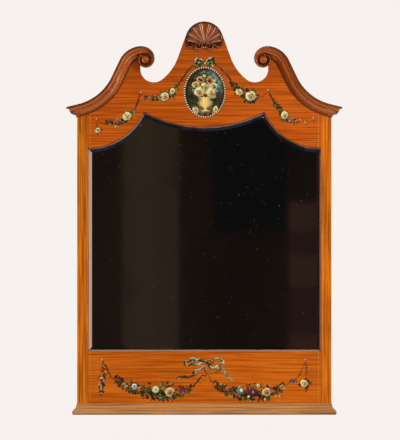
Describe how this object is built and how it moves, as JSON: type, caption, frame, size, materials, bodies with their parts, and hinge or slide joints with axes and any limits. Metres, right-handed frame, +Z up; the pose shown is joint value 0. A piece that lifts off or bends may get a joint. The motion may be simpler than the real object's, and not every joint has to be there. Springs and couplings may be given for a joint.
{
  "type": "wall mirror",
  "caption": "Wall mirror in a painted satinwood frame with a fretted crest, scrolled pediment, carved shell, bevelled shaped plate and ring hangers.",
  "frame": {"origin": "centre of the backboard's rear face, which lies on the wall", "axes": "+Z up, +Y out of the back towards the wall, +X to the right seen from the front"},
  "size_m": [0.66, 0.052, 0.9434],
  "materials": {
    "satinwood_frame": "french polish, vertical grain",
    "satinwood_board": "french polish, horizontal grain, painted flowers",
    "satinwood_moulding": "french polish, darker",
    "carved_shell": "carved, dark polish",
    "faded_moulding": "faded polish",
    "boxwood_stringing": "inlaid, polished",
    "mirror_plate": "silvered back, bevelled edge",
    "softwood": "unfinished, aged",
    "steel_screws": "dull",
    "brass_screws": "dull",
    "hanger_brass": "dull"
  },
  "bodies": {
    "frame": {"left_stile": "satinwood_frame", "right_stile": "satinwood_frame", "crest_board": "satinwood_board", "apron_rail": "satinwood_board", "left_swan_neck": "satinwood_moulding", "right_swan_neck": "satinwood_moulding", "left_cornice_return": "satinwood_moulding", "right_cornice_return": "satinwood_moulding", "shell_carving": "carved_shell", "base_moulding_front": "faded_moulding", "left_base_return": "faded_moulding", "right_base_return": "faded_moulding", "upper_left_stringing": "boxwood_stringing", "upper_right_stringing": "boxwood_stringing", "apron_left_stringing": "boxwood_stringing", "apron_right_stringing": "boxwood_stringing", "mirror_glass": "mirror_plate", "glazing_blocks": "softwood", "backboard": "softwood", "backboard_screws": "steel_screws", "hanger_screws": "brass_screws", "left_hanger_strap": "hanger_brass", "right_hanger_strap": "hanger_brass"},
    "left_ring": {"left_hanger_ring": "hanger_brass"},
    "right_ring": {"right_hanger_ring": "hanger_brass"}
  },
  "joints": [
    {"name": "left_ring_swing", "type": "hinge", "parent": "frame", "child": "left_ring", "pos_m": [-0.19001, -0.0042, 0.37379], "axis": [1, 0, 0], "range_deg": [0, 180]},
    {"name": "right_ring_swing", "type": "hinge", "parent": "frame", "child": "right_ring", "pos_m": [0.19001, -0.0042, 0.37379], "axis": [1, 0, 0], "range_deg": [0, 180]}
  ]
}
